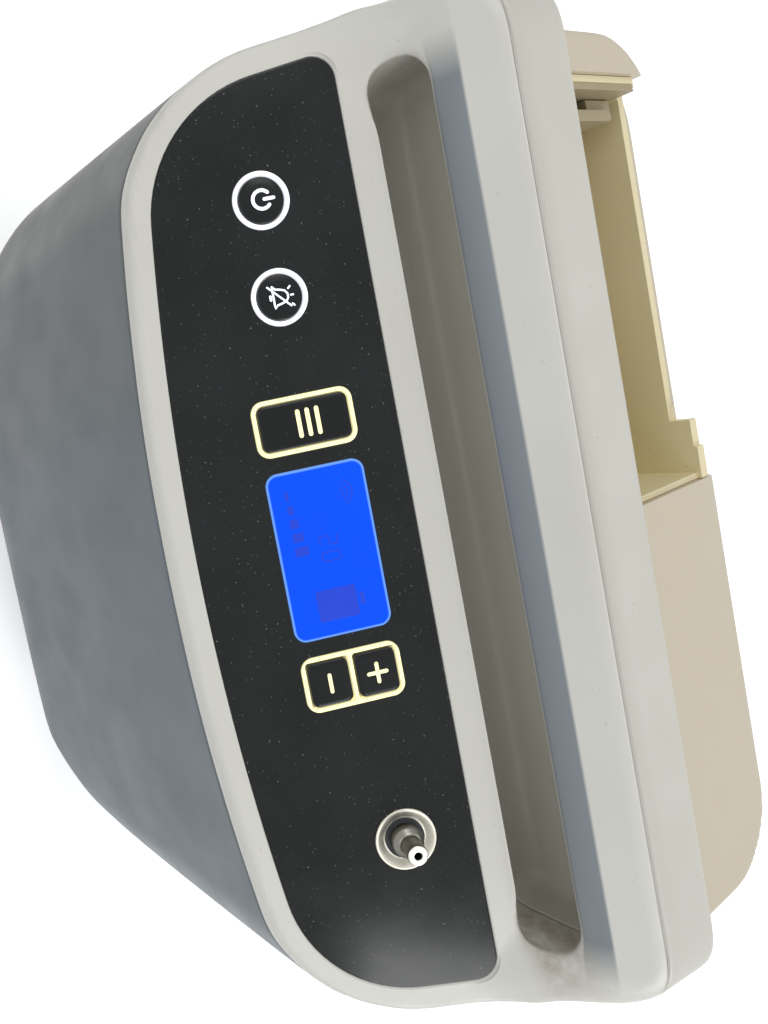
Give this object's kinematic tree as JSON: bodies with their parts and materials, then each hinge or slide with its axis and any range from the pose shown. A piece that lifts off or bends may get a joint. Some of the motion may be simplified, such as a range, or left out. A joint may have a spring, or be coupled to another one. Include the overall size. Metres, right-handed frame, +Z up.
{
  "type": "portable oxygen concentrator",
  "caption": "Portable oxygen concentrator with a tilted control panel, an oxygen outlet, a finger pocket under a handle rail and an open battery bay.",
  "frame": {"origin": "bottom centre of the machine, on the surface it stands on", "axes": "+X to the right as seen from the front, +Y to the back, +Z up"},
  "size_m": [0.292, 0.154, 0.2535],
  "materials": {
    "cover_grey": "fine satin grain",
    "frame_cream": "fine satin grain",
    "shell_cream": "fine satin grain",
    "base_grey": "fine satin grain",
    "soft_rubber": "matt",
    "cover_rubber": "matt",
    "silicone": "translucent",
    "brass": "turned",
    "steel": "plated",
    "outlet_metal": "satin",
    "panel_black": "gloss",
    "key_black": "gloss",
    "light_white": "glowing",
    "light_yellow": "glowing",
    "display_blue": "glowing",
    "module_white": "plain",
    "board_green": "coated",
    "part_black": "plain",
    "liner_khaki": "fine grain",
    "guide_khaki": "fine grain",
    "aluminium": "cast",
    "bed_aluminium": "drawn",
    "filter_plastic": "plain",
    "heat_copper": "plain",
    "foam": "open foam"
  },
  "bodies": {
    "housing": {"front_cover": "cover_grey", "top_frame": "frame_cream", "rear_shell": "shell_cream", "base_pan": "base_grey", "feet": "soft_rubber", "cart_insert": "brass", "base_screws": "steel", "control_fascia": "panel_black", "lcd_window": "display_blue", "lcd_module": "module_white", "display_board": "board_green", "board_screws": "steel", "buzzer": "part_black", "key_domes": "silicone", "power_light_ring": "light_white", "alarm_light_ring": "light_white", "mode_light_frame": "light_yellow", "level_light_frame": "light_yellow", "outlet_cup": "outlet_metal", "outlet_barb": "outlet_metal", "outlet_seal": "soft_rubber", "outlet_nut": "steel", "outlet_tube": "silicone", "product_filter": "filter_plastic", "battery_bay": "liner_khaki", "bay_guide": "guide_khaki", "latch_spring": "steel", "battery_connector": "part_black", "chassis": "aluminium", "isolators": "soft_rubber", "compressor_housing": "aluminium", "compressor_heads": "aluminium", "sieve_beds": "bed_aluminium", "bed_caps": "part_black", "valve_manifold": "part_black", "solenoid_valves": "part_black", "product_tank": "bed_aluminium", "intake_muffler": "part_black", "heat_exchanger": "heat_copper", "fan_frame": "part_black", "exhaust_grille": "base_grey", "intake_foam": "foam", "main_board": "board_green", "dc_jack": "part_black", "dc_nut": "steel"},
    "power_key": {"power_button": "key_black"},
    "alarm_key": {"alarm_button": "key_black"},
    "mode_key": {"mode_button": "key_black"},
    "plus_key": {"plus_button": "key_black"},
    "minus_key": {"minus_button": "key_black"},
    "battery_latch": {"bay_latch": "guide_khaki"},
    "fan_rotor": {"fan_impeller": "part_black"},
    "motor_rotor": {"compressor_rotor": "steel"},
    "inlet_cover": {"dc_cover": "cover_rubber"},
    "intake_panel": {"intake_grille": "shell_cream"}
  },
  "joints": [
    {"name": "power_press", "type": "slide", "parent": "housing", "child": "power_key", "axis": [0, 0.454, -0.891], "range_m": [0, 0.0006], "stiffness_N_per_m": 3000, "springref_m": -0.0002, "deforming": ["key_domes"]},
    {"name": "alarm_press", "type": "slide", "parent": "housing", "child": "alarm_key", "axis": [0, 0.454, -0.891], "range_m": [0, 0.0006], "stiffness_N_per_m": 3000, "springref_m": -0.0002, "deforming": ["key_domes"]},
    {"name": "mode_press", "type": "slide", "parent": "housing", "child": "mode_key", "axis": [0, 0.454, -0.891], "range_m": [0, 0.0006], "stiffness_N_per_m": 3000, "springref_m": -0.0002, "deforming": ["key_domes"]},
    {"name": "plus_press", "type": "slide", "parent": "housing", "child": "plus_key", "axis": [0, 0.454, -0.891], "range_m": [0, 0.0006], "stiffness_N_per_m": 3000, "springref_m": -0.0002, "deforming": ["key_domes"]},
    {"name": "minus_press", "type": "slide", "parent": "housing", "child": "minus_key", "axis": [0, 0.454, -0.891], "range_m": [0, 0.0006], "stiffness_N_per_m": 3000, "springref_m": -0.0002, "deforming": ["key_domes"]},
    {"name": "battery_latch_slide", "type": "slide", "parent": "housing", "child": "battery_latch", "axis": [0, -1, 0], "range_m": [0, 0.003], "stiffness_N_per_m": 400, "springref_m": -0.002, "deforming": ["latch_spring"]},
    {"name": "fan_spin", "type": "hinge", "parent": "housing", "child": "fan_rotor", "pos_m": [0.071, 0.0624, 0.074], "axis": [0, 1, 0], "continuous": true},
    {"name": "motor_spin", "type": "hinge", "parent": "housing", "child": "motor_rotor", "pos_m": [-0.05, -0.012, 0.066], "axis": [1, 0, 0], "continuous": true},
    {"name": "inlet_cover_hinge", "type": "hinge", "parent": "housing", "child": "inlet_cover", "pos_m": [0.026, 0.0757, 0.0596], "axis": [1, 0, 0], "range_deg": [0, 90]},
    {"name": "intake_panel_pull", "type": "slide", "parent": "housing", "child": "intake_panel", "axis": [0, 1, 0], "range_m": [0, 0.01]}
  ]
}
